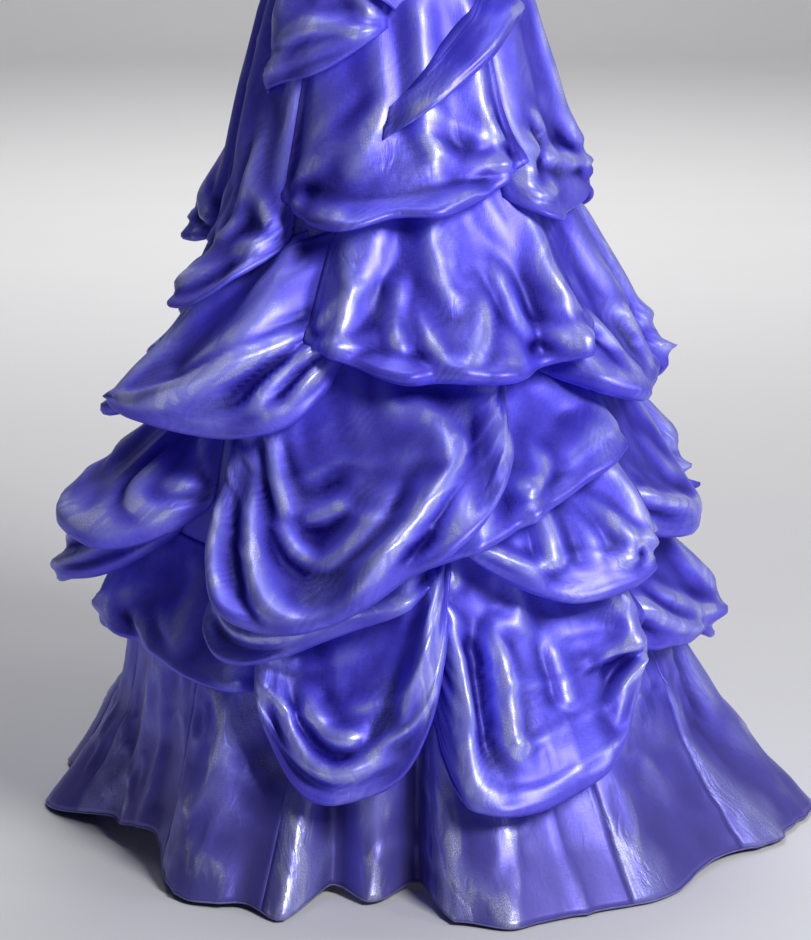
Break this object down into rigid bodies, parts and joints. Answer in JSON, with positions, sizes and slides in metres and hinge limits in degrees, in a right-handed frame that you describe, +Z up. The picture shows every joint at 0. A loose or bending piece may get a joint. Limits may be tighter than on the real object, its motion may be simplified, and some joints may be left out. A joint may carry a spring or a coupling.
{
  "type": "floor-length gown with picked-up swags",
  "caption": "Strapless floor-length gown with a pointed bodice, a flared skirt and tiers of picked-up organza swags, worn form, open neck and hem.",
  "frame": {"origin": "centre of the waist opening, where the gown is held", "axes": "+Z up the gown, -Y the front, +X the wearer's left side"},
  "size_m": [0.9133, 0.8701, 1.3291],
  "materials": {
    "skirt_organza": "iridescent organza, soft satin gloss",
    "swag_organza": "iridescent organza, doubled, crisp glossy creases",
    "bodice_satin": "organza over satin, close fitting",
    "zip_tape": "matt woven tape of a closed concealed zip"
  },
  "bodies": {
    "root": {"gore_a": "skirt_organza", "gore_b": "skirt_organza", "gore_c": "skirt_organza", "gore_d": "skirt_organza", "gore_e": "skirt_organza", "gore_f": "skirt_organza", "gore_g": "skirt_organza", "gore_h": "skirt_organza", "gore_i": "skirt_organza", "gore_j": "skirt_organza", "gore_k": "skirt_organza", "gore_l": "skirt_organza", "swag_back_low_a": "swag_organza", "swag_back_low_b": "swag_organza", "swag_back_low_c": "swag_organza", "swag_back_low_d": "swag_organza", "swag_low_left": "swag_organza", "swag_low_right": "swag_organza", "swag_low_front_right": "swag_organza", "swag_low_front_left": "swag_organza", "swag_second_u": "swag_organza", "swag_left_lower": "swag_organza", "swag_left_upper": "swag_organza", "swag_right_side": "swag_organza", "swag_back_mid_a": "swag_organza", "swag_back_mid_b": "swag_organza", "swag_back_mid_c": "swag_organza", "swag_back_mid_d": "swag_organza", "swag_mid_right": "swag_organza", "swag_diagonal": "swag_organza", "swag_big_u": "swag_organza", "swag_right_high": "swag_organza", "swag_back_high_a": "swag_organza", "swag_back_high_b": "swag_organza", "swag_back_high_c": "swag_organza", "swag_left_dark": "swag_organza", "swag_left_high": "swag_organza", "swag_centre_high": "swag_organza", "hip_left": "swag_organza", "hip_back_left": "swag_organza", "hip_back_centre": "swag_organza", "hip_back_right": "swag_organza", "hip_right": "swag_organza", "front_panel": "swag_organza", "drape_left": "swag_organza", "drape_right": "swag_organza", "bodice_front": "bodice_satin", "bodice_back_left": "bodice_satin", "bodice_back_right": "bodice_satin", "back_zip": "zip_tape"}
  },
  "joints": []
}
